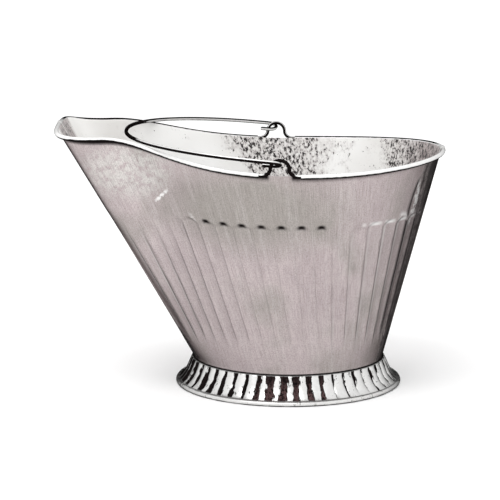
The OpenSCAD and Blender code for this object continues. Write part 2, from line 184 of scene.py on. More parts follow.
def sheet_mesh(name, outer, inner, live, uv, marks, flip, edge_rows=0):
    """A sheet as two skins on one grid, joined by walls round the edge of the live cells.

    outer and inner are grids of points, live says which cells exist, uv and marks are per grid point.
    Cells in the last edge_rows rows take the third finish on both skins.
    """
    cols, rows = outer.shape[:2]
    index = np.arange(cols * rows).reshape(cols, rows)
    a, b, c, d = index[:-1, :-1], index[1:, :-1], index[1:, 1:], index[:-1, 1:]
    skin = cols * rows
    quads = np.stack([a, b, c, d], -1)[live]
    faces = [quads, quads[:, ::-1] + skin]
    padded = np.zeros((cols + 1, rows + 1), bool)
    padded[1:-1, 1:-1] = live
    for (p, q), (di, dj) in (((a, b), (0, -1)), ((b, c), (1, 0)), ((c, d), (0, 1)), ((d, a), (-1, 0))):
        shut = padded[1 + di:cols + di, 1 + dj:rows + dj]
        edge = live & ~shut
        faces.append(np.stack([q[edge], p[edge], p[edge] + skin, q[edge] + skin], -1))
    bead = np.repeat((np.arange(rows - 1) >= rows - 1 - edge_rows)[None], cols - 1, 0)[live]
    kinds = [np.where(bead, 2, 0), np.where(bead, 2, 1)] + [np.full(len(f), 2) for f in faces[2:]]
    kinds = np.concatenate(kinds)
    faces = np.concatenate(faces)
    if flip:
        faces = faces[:, ::-1]
    points = np.concatenate([outer.reshape(-1, 3), inner.reshape(-1, 3)])
    uv = np.concatenate([uv.reshape(-1, 2)] * 2)
    marks = {k: np.concatenate([m.reshape(-1)] * 2) for k, m in marks.items()}
    return make_mesh(name, points, faces, uv, marks, kinds)


def across_flute(s):
    """The place across a flute: 0 at one ridge and 1 at the next."""
    return np.abs(s) * FLUTES % 1.0


def flute_scoop(s):
    """Across a flute: the root of a half sine, 0 on the ridges and 1 in the middle."""
    return np.sqrt(np.clip(np.sin(np.pi * across_flute(s)), 0, 1))


def shell_shares(ear, notch):
    """The grid's columns: even shares and a lap past either end, with one moved to each edge of the notch."""
    s = np.concatenate([[-LAP, -LAP / 2], np.linspace(0, 1, FLUTES * PER_FLUTE + 1), [1 + LAP / 2, 1 + LAP]])
    for edge in (ear - notch, ear + notch):
        s[np.argmin(np.abs(s - edge))] = edge
    return s


def wall_heights(end, top_z):
    """The wall's rows: even steps between heights, short where the flutes begin and where they end.

    Each part stops a step before the next one begins, and the last reaches the top.
    """
    foot, low = 0 * end + FOOT_H, 0 * end + FLUTE_LOW
    knots = [foot, low, low + FLUTE_LOW_EASE, end - 12, end + 2, top_z]
    parts = []
    for start, stop, steps in zip(knots, knots[1:], (4, 8, 10, 16, 22)):
        share = np.linspace(0, 1, steps, endpoint=stop is top_z)
        parts.append(start[:, None] + (stop - start)[:, None] * share)
    return np.concatenate(parts, 1)


def wall_marks(s, heights, end, arch, top_z, fluted, notch):
    """Numbers for each point of a half shell's grid, from which the finish takes where it paints shade and
    highlights.

    Each is a bell, or a smooth step, in the place across a flute, the share of the rim or the height.
    """
    share, spot, end = s[:, None], across_flute(s)[:, None], end[:, None]
    side = np.abs(share)

    def whole(mark, skirt=0.0, curl=0.0):
        skirt = np.broadcast_to(skirt, (len(s), SKIRT_ROWS))
        return np.concatenate([skirt, mark, np.broadcast_to(curl, (len(s), CURL_ROWS))], 1)

    # The dashes at the flutes' upper ends, painted shade on the side and flat painted highlights towards the
    # rear, and the painted glint above each
    past_end = heights - (end - arch[:, None] - 2.2)
    dash = bell(spot - 0.5, 0.20, 4) * bell(past_end + 0.4, 2.4, 4)
    flat_dash = bell(spot - 0.5, 0.36, 4) * bell(heights - end + 3.2, 2.1, 4)
    dash = np.where(share > 0.68, flat_dash, dash)
    glint = bell(spot - 0.5, 0.42, 4) * bell(past_end - 2.5 - 4 * (1 - spot), 2.4)

    # The painted shadow below the bead, left out in the ear's notch, and the turn of the curl from 0 to 1
    bead = 1 - smooth((notch * 0.62 - np.abs(share - ear_share())) * RIM_LEN / 3)
    shadow_under_bead = (1 - smooth((top_z[:, None] - heights - 4.2) / 1.2)) * bead
    roll = np.arange(1, CURL_ROWS + 1) / CURL_ROWS + 0.06 * (1 - smooth((side - 0.25) / 0.15))

    # Painted shade along the body's front edge, which leans and narrows upwards, and a thin painted line of
    # shade beside the rear edge
    edge_at = np.interp(heights, [32, 110, 170, 200, 240, 283], [0.008, 0.026, 0.056, 0.074, 0.092, 0.102])
    edge_wide = np.interp(heights, [32, 60, 110, 200, 240, 283], [0.10, 0.12, 0.06, 0.034, 0.026, 0.020])
    corner = bell(side - edge_at, edge_wide)
    rear_shade_line_at = np.interp(heights, [192, 207, 223, 236, 244], [0.838, 0.836, 0.840, 0.848, 0.856])
    rear_shade_line = bell(share - rear_shade_line_at, 0.0055) * smooth((heights - 192) / 8) * (1 - smooth((heights - 234) / 10))

    # Painted light on one flank of each ridge, and painted shade in the ridges' own dark lines, uneven on the
    # side
    light_at = np.where(share < 0.5, 0.88, 0.17)
    light_by = np.interp(share, [0.10, 0.13, 0.15, 0.21, 0.25, 0.6, 0.70, 0.82, 0.90],
                         [0.2, 0.3, 1, 1, 0.3, 0.2, 0.5, 0.9, 0.6])
    ridge_wide = np.interp(share, [0.12, 0.16, 0.24, 0.30, 0.80, 0.83], [0.35, 0.6, 0.6, 0.35, 0.35, 0.75])
    uneven = 0.45 + 0.55 * scatter(np.floor(side * FLUTES + 0.5))
    uneven = np.where((share < 0.14) | ((share > 0.23) & (share < 0.82)), uneven, 1.0)
    ridge = 1 - smooth(np.abs(np.sin(np.pi * share * FLUTES)) / ridge_wide)
    return {
        "dash": whole(dash),
        "glint": whole(glint),
        "ridge_light": whole(bell(spot - light_at, 0.08) * fluted * light_by),
        "corner": whole(corner, corner[:, :1], corner[:, -1:]),
        "ridge": whole(ridge * fluted * uneven),
        "flutes": whole(fluted),
        "rear_shade_line": whole(rear_shade_line),
        "shadow_under_bead": whole(shadow_under_bead),
        "roll": whole(0 * heights, 0, roll),
        "share": whole(share + 0 * heights, share, share),
    }


def half_shell(name, side):
    """One half of the body, near where side is -1 and far where it is 1.

    Straight lines run from equal shares of the base circle and of the rim. Flutes press the sheet in
    along its normal, with an arched end at the top, and the upper edge turns round the rim wire. The far
    half is the mirror of the near one, stepped inwards at the laps.
    """
    ear = ear_share()
    notch = (EAR_HALF + EAR_FOOT_LEN + EAR_RELIEF) / RIM_LEN
    s = shell_shares(ear, notch)
    inset = np.zeros_like(s)
    if side > 0:
        inset = JOGGLE * (1 - smooth(np.minimum(s, 1 - s) / LAP - 1))
    base, rim, out, along = base_at(s), rim_at(s), rim_out(s), rim_dir(s)
    top = rim - CURL_R * out
    base_along = np.stack([np.sin(np.pi * s), -np.cos(np.pi * s), 0 * s], -1)
    base_out = np.stack([-np.cos(np.pi * s), -np.sin(np.pi * s), 0 * s], -1)

    # The wall, pressed in at the flutes; a few of these run out earlier than the others
    end = RIM_Z - FLUTE_DROP + FLUTE_FOLLOW * (rim[:, 2] - RIM_Z)
    arch = ARCH_RISE * (1 - np.sin(np.pi * across_flute(s)))
    heights = wall_heights(end, top[:, 2])
    k = ((heights - FOOT_H) / (top[:, 2] - FOOT_H)[:, None])[..., None]
    wall = base[:, None] * (1 - k) + top[:, None] * k
    turn = unit(base_along[:, None] * (1 - k) + along[:, None] * k)
    normal = unit(np.cross(turn, unit(top - base)[:, None]))
    low = smooth((heights - FLUTE_LOW) / FLUTE_LOW_EASE)
    ease = FLUTE_TOP_EASE + np.interp(s, [0.27, 0.32, 0.62, 0.66, 0.69, 0.72], [32, 0, 0, 12, 12, 0])
    high = 1 - smooth((heights - (end - arch - ease)[:, None]) / ease[:, None])
    press = FLUTE_DEPTH * flute_scoop(s)[:, None] * low * high
    wall = wall - (press + inset[:, None])[..., None] * normal

    # The skirt below it, and the curl round the wire above it
    skirt = np.repeat((base - inset[:, None] * base_out)[:, None], SKIRT_ROWS, 1)
    skirt[..., 2] = SKIRT_HEIGHTS
    turns = np.radians(180 - CURL_TURN * np.linspace(0, 1, CURL_ROWS + 1)[1:])[None, :, None]
    radial = np.cos(turns) * out[:, None] + np.sin(turns) * np.cross(out, along)[:, None]
    curl = rim[:, None] + (CURL_R + inset)[:, None, None] * radial

    middle = np.concatenate([skirt, wall, curl], 1)
    normals = np.concatenate([np.repeat(base_out[:, None], SKIRT_ROWS, 1), normal, -radial], 1)
    outer, inner = middle + normals * SHEET_T / 2, middle - normals * SHEET_T / 2
    rows = middle.shape[1]
    live = np.ones((len(s) - 1, rows - 1), bool)
    in_notch = (s[:-1] > ear - notch - 1e-6) & (s[1:] < ear + notch + 1e-6)
    live[in_notch, rows - 1 - CURL_ROWS:] = False
    past_top = 0.04 * np.arange(1, CURL_ROWS + 1)
    height = np.concatenate([np.tile(SKIRT_HEIGHTS, (len(s), 1)), heights, top[:, 2:3] + past_top], 1)
    uv = np.stack([np.repeat(s[:, None] * RIM_LEN, rows, 1), height], -1) * MM
    marks = wall_marks(s, heights, end, arch, top[:, 2], low * high, notch)
    if side > 0:
        for grid in (outer, inner):
            grid[..., 1] *= -1
    return sheet_mesh(name, outer, inner, live, uv, marks, side > 0, CURL_ROWS)


def domed(line, side, r):
    """A wire's line with a dome in place of its first point: a quarter ellipse, 0.6 of the radius high."""
    a = np.linspace(0, np.pi / 2, 6)[:-1]
    away = unit(line[0] - line[1])
    cap = line[0] + 0.6 * r[0] * np.cos(a)[:, None] * away - 0.6 * r[0] * away
    grow = r[0] * np.maximum(np.sin(a), 0.02)
    keep = np.repeat(side[:1], len(a), 0)
    return np.concatenate([cap, line[1:]]), np.concatenate([keep, side[1:]]), np.concatenate([grow, r[1:]])


def tube(name, line, side, radius, closed, shade):
    """A round wire: a circle carried along a line, turned by a side vector; open ends are domed.

    shade gives the mark for the dark side of the wire from the line's points and the angles round it.
    """
    line, side = np.asarray(line, float), np.asarray(side, float)
    r = np.full(len(line), radius)
    if not closed:
        line, side, r = domed(line, side, r)
        line, side, r = (x[::-1] for x in domed(line[::-1], side[::-1], r[::-1]))
    ahead, behind = np.roll(line, -1, 0), np.roll(line, 1, 0)
    if not closed:
        ahead[-1], behind[0] = line[-1], line[0]
    t = unit(ahead - behind)
    e1 = unit(side - np.sum(side * t, 1, keepdims=True) * t)
    e2 = np.cross(t, e1)
    a = 2 * np.pi * np.arange(WIRE_SIDES) / WIRE_SIDES
    ring = np.cos(a)[None, :, None] * e1[:, None] + np.sin(a)[None, :, None] * e2[:, None]
    points = (line[:, None] + r[:, None, None] * ring).reshape(-1, 3)
    n = len(line)
    i = np.arange(n if closed else n - 1)[:, None]
    j = np.arange(WIRE_SIDES)[None]
    at = lambda p, q: (p % n) * WIRE_SIDES + q % WIRE_SIDES
    faces = np.stack([at(i + 1, j), at(i + 1, j + 1), at(i, j + 1), at(i, j)], -1).reshape(-1, 4)
    run = np.concatenate([[0], np.cumsum(np.linalg.norm(np.diff(line, axis=0), axis=1))])
    uv = np.stack([np.repeat(run, WIRE_SIDES), np.tile(a * radius, n)], -1) * MM
    return make_mesh(name, points, faces, uv, {"shade": shade(line, a[None]).reshape(-1)})


def rim_shade(line, a):
    """The rim wire's dark side, from the sine of the angle round it, which is 1 below and -1 on top.

    The near half is dark but for its top, and its ear all round; the far half is dark below and on top.
    """
    near = smooth((np.sin(a) + 0.72) / 0.3)
    far = np.maximum(smooth((np.sin(a) + 0.55) / 0.3), smooth((-0.70 - np.sin(a)) / 0.15))
    ear = 1 - smooth((np.abs(line[:, :1] - EAR_X) - 12) / 6)
    return np.where(line[:, 1:2] < 0, np.maximum(near, ear), far)


def bail_shade(line, a):
    """The bail's dark side, from the cosine of the angle round it, which is 1 on top and -1 below.

    The near side is dark but for its top, the far side is dark above and below, and the front all round.
    """
    y = line[:, 1:2]
    front = 1 - smooth((np.abs(y) - 50) / 60)
    near = smooth((0.55 - np.cos(a)) / 0.3)
    far = np.maximum(smooth((np.cos(a) - 0.15) / 0.3), 0.8 * smooth((-0.5 - np.cos(a)) / 0.2))
    return front + (1 - front) * np.where(y < 0, near, far)


def rim_wire_loop():
    """The rim's line, with an ear on each side: a quarter ellipse up, a round top and the same down again."""
    leg = EAR_RISE - EAR_HALF
    reach = EAR_HALF + EAR_FOOT_LEN
    a = np.linspace(0, np.pi / 2, 14)
    bend = np.stack([reach - EAR_FOOT_LEN * np.sin(a), leg * (1 - np.cos(a))], 1)
    outline = np.concatenate([bend * [-1, 1], arc((0, leg), EAR_HALF, 180, 0, 26)[1:-1], bend[::-1]])
    ear, steps = ear_share(), np.linspace(0, 1, RIM_STEPS)
    gap = (reach + 2) / RIM_LEN
    before, after = steps[steps < ear - gap], steps[steps > ear + gap]
    s = np.concatenate([before, ear + outline[:, 0] / RIM_LEN, after])
    rise = np.concatenate([0 * before, outline[:, 1], 0 * after])
    near = rim_at(s) + rise[:, None] * ear_up()
    side = rim_out(s)
    mirror = np.array([1, -1, 1])
    return np.concatenate([near, (near * mirror)[-2:0:-1]]), np.concatenate([side, (side * mirror)[-2:0:-1]])


def foot_profile(steps):
    """The foot ring's middle line in radius and height, with the share of the crimps at each point.

    A short collar, a shoulder, a flaring band, a hollow curve out to the edge and a roll round the wire.
    """
    roll_r = FOOT_WIRE_R + SHEET_GAP + FOOT_T / 2 + 0.12
    roll_z = roll_r + FOOT_T / 2
    collar = BASE_R + SHEET_GAP + FOOT_T / 2
    knots = np.array([
        [collar, FOOT_H, 0], [collar + 0.5, FOOT_H - 0.9, 0.05], [collar + 1.7, FOOT_H - 2.1, 0.6],
        [collar + 2.6, FOOT_H - 4.0, 1.0], [collar + 4.6, 22.0, 1.0], [collar + 7.2, 16.0, 0.95],
        [collar + 10.2, 11.0, 0.7], [collar + 13.2, 7.2, 0.35],
        [FOOT_RING_R - 0.5 * roll_r, roll_z + 0.87 * roll_r, 0.0],
    ])
    d = np.concatenate([[0], np.cumsum(np.linalg.norm(np.diff(knots[:, :2], axis=0), axis=1))])
    t = np.linspace(0, d[-1], steps)
    slope = np.gradient(knots, d, axis=0)
    i = np.clip(np.searchsorted(d, t, side="right") - 1, 0, len(d) - 2)
    w = (d[i + 1] - d[i])[:, None]
    f = ((t - d[i]) / (d[i + 1] - d[i]))[:, None]
    band = (knots[i] * (1 + 2 * f) * (1 - f) ** 2 + knots[i + 1] * f * f * (3 - 2 * f)
            + w * slope[i] * f * (1 - f) ** 2 - w * slope[i + 1] * f * f * (1 - f))
    roll = arc((FOOT_RING_R, roll_z), roll_r, 112, -150, 20)
    return np.concatenate([band[:-1], np.column_stack([roll, np.zeros(len(roll))])])


def foot_band(name):
    """The foot ring: its profile carried round, pressed in between rounded ridges at the crimps.

    Across a crimp the press is 1 less the root of a half sine, made a little uneven by two slow sines.
    """
    cols = CRIMPS * PER_CRIMP
    profile = foot_profile(34)
    tangent = unit(np.gradient(profile[:, :2], axis=0))
    normal = np.stack([-tangent[:, 1], tangent[:, 0]], 1)
    a = 2 * np.pi * np.arange(cols + 1) / cols
    c = np.arange(cols + 1) / PER_CRIMP % 1.0
    wobble = 0.12 * np.sin(a * 7 + 1.0) + 0.1 * np.sin(a * 13 + 2.0)
    ridge = np.sqrt(np.clip(np.sin(np.pi * np.clip((c - 0.02) / 0.96, 0, 1)), 0, 1))
    depth = CRIMP_DEPTH * ((1 - ridge) * (1 + wobble))[:, None] * profile[None, :, 2]
    skins = []
    for off in (FOOT_T / 2, -FOOT_T / 2):
        r = profile[None, :, 0] - depth + off * normal[None, :, 0]
        z = profile[None, :, 1] + off * normal[None, :, 1] + 0 * depth
        skins.append(np.stack([r * np.cos(a)[:, None], r * np.sin(a)[:, None], z], -1))
    for grid in skins:
        grid[-1] = grid[0]
    rows = len(profile)
    run = 110 * a
    uv = np.stack([np.repeat(run[:, None], rows, 1), np.repeat(profile[None, :, 1], cols + 1, 0)], -1) * MM
    width = 0.62 + 0.62 * scatter(np.floor(np.arange(cols + 1) / PER_CRIMP + 0.5) % CRIMPS)
    groove = np.clip((0.5 - np.minimum(c, 1 - c)) * 2, 0, 1)
    marks = {
        "groove": np.repeat((1 - (1 - groove) / width)[:, None], rows, 1),
        "low": np.repeat(profile[None, :, 1] / FOOT_H, cols + 1, 0),
        "turn": np.repeat(a[:, None] / (2 * np.pi), rows, 1),
    }
    return sheet_mesh(name, skins[0], skins[1], np.ones((cols, rows - 1), bool), uv, marks, True)


def bail_hinge():
    """The middle of the hinge, under the ears' tops, and the distance from it to each ear."""
    top = rim_at(ear_share()) + EAR_RISE * ear_up()
    return np.array([top[0], 0, top[2] - RIM_WIRE_R - BAIL_R - HOOK_GAP]), -top[1]


def bail_line(pitch):
    """Half an egg: a superellipse in plan from hook to hook, bowed slightly, with a hook at each end."""
    hinge, hook_y = bail_hinge()
    hook_r = math.hypot(HOOK_SPREAD, HOOK_LIFT)
    half, length = hook_y + HOOK_SPREAD, BAIL_REACH - hook_r
    a = np.radians(180 - np.linspace(0, 180, 24))
    back = np.linspace(HOOK_LEN, hook_r, 6)[:-1]
    hook = np.concatenate([
        np.stack([back, 0 * back + hook_y - HOOK_SPREAD, 0 * back - HOOK_LIFT], 1),
        np.stack([hook_r - hook_r * np.sin(a), hook_y + HOOK_SPREAD * np.cos(a), HOOK_LIFT * np.cos(a)], 1),
    ])
    b = np.radians(90 - np.linspace(0, 180, 241)[1:-1])
    ahead = hook_r + length * np.abs(np.cos(b)) ** (2 / BAIL_SQUARE)
    share = np.clip(ahead / BAIL_REACH, 0, 1)
    sweep = np.stack([ahead, half * np.sign(np.sin(b)) * np.abs(np.sin(b)) ** (2 / BAIL_SQUARE),
                      HOOK_LIFT + 4 * BAIL_BOW * share * (1 - share)], 1)
    p = np.concatenate([hook, sweep, (hook * [1, -1, 1])[::-1]])
    c, s = math.cos(pitch), math.sin(pitch)
    line = np.stack([hinge[0] - p[:, 0] * c + p[:, 2] * s, p[:, 1], hinge[2] + p[:, 0] * s + p[:, 2] * c], 1)
    return line, np.array([s, 0.02, c])


def floor_sheet():
    """A level floor, in metres, that curves up far behind: a quarter circle joined to two straight runs."""
    half_width, front, back, curve_r, wall_top = 6.0, -6.0, 3.0, 1.5, 6.0
    a = np.linspace(0, np.pi / 2, 24)
    y = np.concatenate([[front], back + curve_r * np.sin(a), [back + curve_r]])
    z = np.concatenate([[0.0], curve_r - curve_r * np.cos(a), [wall_top]])
    x = np.array([-half_width, half_width])
    grid = np.stack(np.broadcast_arrays(x[:, None], y[None], z[None]), -1).reshape(-1, 3)
    n = len(y)
    i = np.arange(n - 1)
    mesh = bpy.data.meshes.new("floor")
    mesh.from_pydata(grid.tolist(), [], np.stack([i, i + n, i + n + 1, i + 1], 1).tolist())
    mesh.polygons.foreach_set("use_smooth", np.ones(n - 1, bool))
    floor = bpy.data.objects.new("floor", mesh)
    scene.collection.objects.link(floor)
    return floor


# Finishes: their colours first, and a metal tint that takes the light from a surface seen edge-on

# BLACK, LINE_BLACK, SHADED, CRIMP_BLACK and FLANGE_BLACK colour painted shade; RIDGE_LIGHT and GLINT colour
# painted highlights.
BLACK, LINE_BLACK, SPECK_BLACK = (0.008, 0.006, 0.006), (0.035, 0.028, 0.028), (0.015, 0.011, 0.011)
WARM_ZINC, WARM_PALE = (0.61, 0.525, 0.53), (0.71, 0.62, 0.62)
GREEN_ZINC, PALE_PATCH, PALE_STREAK = (0.42, 0.40, 0.365), (0.89, 0.88, 0.84), (0.90, 0.85, 0.84)
SHADED, DARK_STREAK, DARK_GRAIN = (0.32, 0.30, 0.28), (0.17, 0.135, 0.135), (0.18, 0.15, 0.15)
RIDGE_LIGHT, GLINT = (0.92, 0.90, 0.88), (0.97, 0.95, 0.94)
INNER_ZINC, INNER_PALE = (0.73, 0.72, 0.70), (0.84, 0.84, 0.83)
INNER_GREY, INNER_BROWN, INNER_HAZE = (0.30, 0.24, 0.23), (0.10, 0.07, 0.068), (0.30, 0.26, 0.255)
BEAD_ZINC, BEAD_PALE, FOOT_PALE = (0.84, 0.83, 0.82), (0.96, 0.96, 0.95), (0.97, 0.97, 0.96)
SMOOTH_ZINC, SMOOTH_PALE = (0.72, 0.71, 0.70), (0.88, 0.88, 0.87)
CRIMP_BLACK, CRIMP_BROWN = (0.012, 0.009, 0.009), (0.125, 0.075, 0.075)
FLANGE_BLACK, COLLAR_BLACK = (0.02, 0.015, 0.015), (0.01, 0.008, 0.008)
WIRE_ZINC, WIRE_PALE = (0.80, 0.79, 0.78), (0.94, 0.94, 0.93)
EDGE_TINT = (0, 0, 0, 1)


class Finish:
    """A node material in the making: it adds nodes and joins them by name."""

    def __init__(self, name):
        self.material = bpy.data.materials.new(name)
        self.material.use_nodes = True
        self.tree = self.material.node_tree
        self.shader = self.tree.nodes["Principled BSDF"]
        self.place = self.node("ShaderNodeTexCoord").outputs["Object"]

    def node(self, kind, inputs=(), **settings):
        made = self.tree.nodes.new(kind)
        for key, value in settings.items():
            setattr(made, key, value)
        for key, value in dict(inputs).items():
            if hasattr(value, "is_output"):
                self.tree.links.new(value, made.inputs[key])
            else:
                made.inputs[key].default_value = value
        return made

    def along(self):
        """The piece's own map, in metres."""
        return self.node("ShaderNodeUVMap", uv_map="along").outputs["UV"]

    def height(self, along):
        """The height on the piece's own map, in quarters of a metre."""
        metres = self.node("ShaderNodeSeparateXYZ", {"Vector": along}).outputs["Y"]
        return self.math("MULTIPLY", metres, 4.0)

    def mark(self, key):
        """One of the numbers that the mesh carries at its points."""
        return self.node("ShaderNodeAttribute", attribute_name=key).outputs["Fac"]

    def stretch(self, vector, scale):
        return self.node("ShaderNodeMapping", {"Vector": vector, "Scale": scale}).outputs["Vector"]

    def noise(self, vector, scale, detail=2.0, rough=0.5):
        inputs = {"Vector": vector, "Scale": scale, "Detail": detail, "Roughness": rough}
        return self.node("ShaderNodeTexNoise", inputs).outputs["Fac"]

    def ramp(self, value, *stops):
        """A grey ramp; each stop is a place and a grey."""
        made = self.node("ShaderNodeValToRGB", {"Fac": value})
        points = made.color_ramp.elements
        while len(points) < len(stops):
            points.new(0.5)
        for point, (where, tone) in zip(points, stops):
            point.position = where
            point.color = (tone, tone, tone, 1)
        return made.outputs["Color"]

    def math(self, kind, a, b=0.0, c=0.0):
        made = self.node("ShaderNodeMath", {0: a, 1: b, 2: c}, operation=kind)
        return made.outputs["Value"]

    def mix(self, share, a, b):
        a = (*a, 1) if isinstance(a, tuple) else a
        b = (*b, 1) if isinstance(b, tuple) else b
        return self.node("ShaderNodeMix", {0: share, 6: a, 7: b}, data_type="RGBA").outputs[2]

    def spot(self, vector, centre, turn, half_sizes):
        """An oval patch, 1 in its middle and 0 at its edge."""
        turned = self.node("ShaderNodeMapping", {
            "Vector": vector, "Location": (*centre, 0), "Rotation": (0, 0, turn), "Scale": (*half_sizes, 1),
        }, vector_type="TEXTURE")
        inputs = {"Vector": turned.outputs["Vector"]}
        return self.node("ShaderNodeTexGradient", inputs, gradient_type="SPHERICAL").outputs["Fac"]

    def times(self, first, *others):
        for other in others:
            first = self.math("MULTIPLY", first, other)
        return first

    def most(self, first, *others):
        for other in others:
            first = self.math("MAXIMUM", first, other)
        return first

    def ragged(self, value, noise, by):
        """Adds to a value what a noise is above a half, times an amount."""
        return self.math("MULTIPLY_ADD", self.math("SUBTRACT", noise, 0.5), by, value)

    def bump(self, height, strength, distance, under=None):
        inputs = {"Height": height, "Strength": strength, "Distance": distance}
        if under is not None:
            inputs["Normal"] = under
        return self.node("ShaderNodeBump", inputs).outputs["Normal"]

    def dull(self, matt, metallic, roughness):
        """Takes the shine off where matt is 1, which the finishes set mostly where they paint shade black."""
        shine = self.math("SUBTRACT", 1.0, matt)
        return {
            "metallic": self.math("MULTIPLY", shine, metallic),
            "specular_ior_level": self.math("MULTIPLY", shine, 0.5),
            "roughness": self.math("MULTIPLY_ADD", matt, 1.0 - roughness, roughness),
        }

    def edge_dark(self, grey):
        """A thin clear coat that takes in light: the longer way through it darkens what is seen edge-on."""
        tint = (grey, grey, grey, 1)
        return {"coat_weight": 1.0, "coat_ior": 1.0, "coat_roughness": 0.5, "coat_tint": tint}

    def wear(self, **sockets):
        """Sets or joins the shader's sockets, named in small letters, and gives the material."""
        for key, value in sockets.items():
            socket = self.shader.inputs[key.replace("_", " ").title().replace("Ior", "IOR")]
            if hasattr(value, "is_output"):
                self.tree.links.new(value, socket)
            else:
                socket.default_value = value
        return self.material


def on_wall(share, height):
    """Place on the wall's own map, from a share of its length and a height."""
    return share * RIM_LEN * MM, height * MM


def wall_ground(f, along, share, fine, broad, mottle):
    """Warm grey zinc: cloudy, greenish and pale in patches, with painted shade towards the front and rear,
    finely streaked.
    """
    grain = f.noise(f.place, 1000.0, 2.0, 0.7)
    cloud = f.noise(f.place, 14.0, 3.0, 0.55)
    colour = f.mix(f.ramp(cloud, (0.35, 0.0), (0.65, 1.0)), WARM_ZINC, WARM_PALE)
    green = f.spot(along, on_wall(0.48, 212), 0.0, (0.16, 0.06))
    green = f.math("ADD", green, f.ramp(cloud, (0.52, 0.0), (0.7, 0.5)))
    colour = f.mix(f.ramp(green, (0.05, 0.0), (0.6, 0.85)), colour, GREEN_ZINC)
    pale = f.spot(along, on_wall(0.235, 247), 0.2, (0.075, 0.034))
    pale = f.times(f.ramp(pale, (0.0, 0.0), (0.5, 1.0)), f.ramp(mottle, (0.38, 0.0), (0.55, 1.0)), 0.7)
    colour = f.mix(pale, colour, PALE_PATCH)
    colour = f.mix(f.ramp(broad, (0.5, 0.0), (0.8, 0.25)), colour, PALE_STREAK)
    # Painted shade towards the front and the rear
    colour = f.mix(f.ramp(share, (0.09, 0.35), (0.22, 0.0), (0.7, 0.0), (0.84, 0.25)), colour, SHADED)
    colour = f.mix(f.ramp(fine, (0.42, 0.0), (0.74, 0.5)), colour, DARK_STREAK)
    return f.mix(f.ramp(grain, (0.45, 0.0), (0.7, 0.5)), colour, DARK_GRAIN)


def wall_glints(f, along, share, mottle):
    """Painted highlights: the dashes towards the rear, the arches of a few flutes, and two short streaks."""
    pale_end = f.ramp(share, (0.705, 0.0), (0.715, 1.0), (0.86, 1.0), (0.88, 0.3))
    glint_end = f.ramp(share, (0.342, 0.0), (0.346, 1.0), (0.354, 1.0), (0.358, 0.0),
                       (0.80, 0.0), (0.81, 0.8), (0.86, 0.8), (0.88, 0.2))
    patchy = f.ramp(mottle, (0.40, 0.15), (0.55, 1.0))
    # Two short painted highlights, one by the spout and one towards the rear
    spout_highlight = f.times(f.spot(along, on_wall(0.288, 222.8), 0.48, (0.028, 0.0042)), 0.62)
    rear_highlight = f.spot(along, on_wall(0.8545, 212), 0.03, (0.0095, 0.034))
    streak = f.times(f.most(spout_highlight, rear_highlight), f.ramp(mottle, (0.42, 0.25), (0.55, 1.3)))
    return f.most(f.times(f.mark("dash"), pale_end), f.times(f.mark("glint"), glint_end, patchy),
                  f.ramp(streak, (0.25, 0.0), (0.55, 1.0)))


def wall_painted_shade(f, share, lines, fine, broad, mottle, glints):
    """Painted shade where the wall is black: streaks at the rear, its front and rear edges, ridges, and below
    the bead.
    """
    streaks = f.math("SUBTRACT", f.math("ADD", broad, fine), 1.0)
    above = f.ramp(share, (0.856, 0.0), (0.866, 0.75), (0.89, 0.75), (0.90, 1.0))
    fluted = f.ramp(share, (0.84, 0.0), (0.86, 0.2), (0.88, 0.5), (0.89, 0.3), (0.90, 0.7), (0.925, 0.95))
    rear = f.mix(f.mark("flutes"), above, fluted)
    rear = f.ragged(f.math("MULTIPLY_ADD", streaks, 0.9, rear), mottle, 1.2)
    rear = f.times(f.ramp(rear, (0.05, 0.0), (0.85, 1.0)), f.ramp(share, (0.82, 0.0), (0.86, 1.0)))
    rear = f.math("SUBTRACT", rear, f.ramp(share, (0.93, 0.0), (0.97, 0.8)))
    rear_edge = f.ramp(share, (0.925, 0.0), (0.940, 0.6), (0.965, 0.6), (0.985, 0.1))
    front_edge = f.ramp(f.math("MULTIPLY_ADD", streaks, 1.2, f.mark("corner")), (0.35, 0.0), (0.95, 0.6))
    lines = f.times(lines, f.ramp(share, (0.145, 0.2), (0.155, 1.0), (0.17, 1.0), (0.18, 0.6), (0.22, 0.6),
                                  (0.24, 0.2), (0.80, 0.3), (0.83, 1.0)))
    ridges = f.times(f.mark("ridge"), f.ramp(share, (0.825, 0.0), (0.835, 0.9), (0.93, 0.9), (0.95, 0.0)))
    # All of the wall's painted shade, lifted under the painted highlights
    wall_shade = f.most(f.times(rear, 0.86), rear_edge, front_edge, lines, ridges, f.times(f.mark("rear_shade_line"), 0.92))
    wall_shade = f.times(wall_shade, f.math("SUBTRACT", 1.0, f.times(glints, 0.8)))
    return f.most(wall_shade, f.times(f.mark("shadow_under_bead"), 0.98))


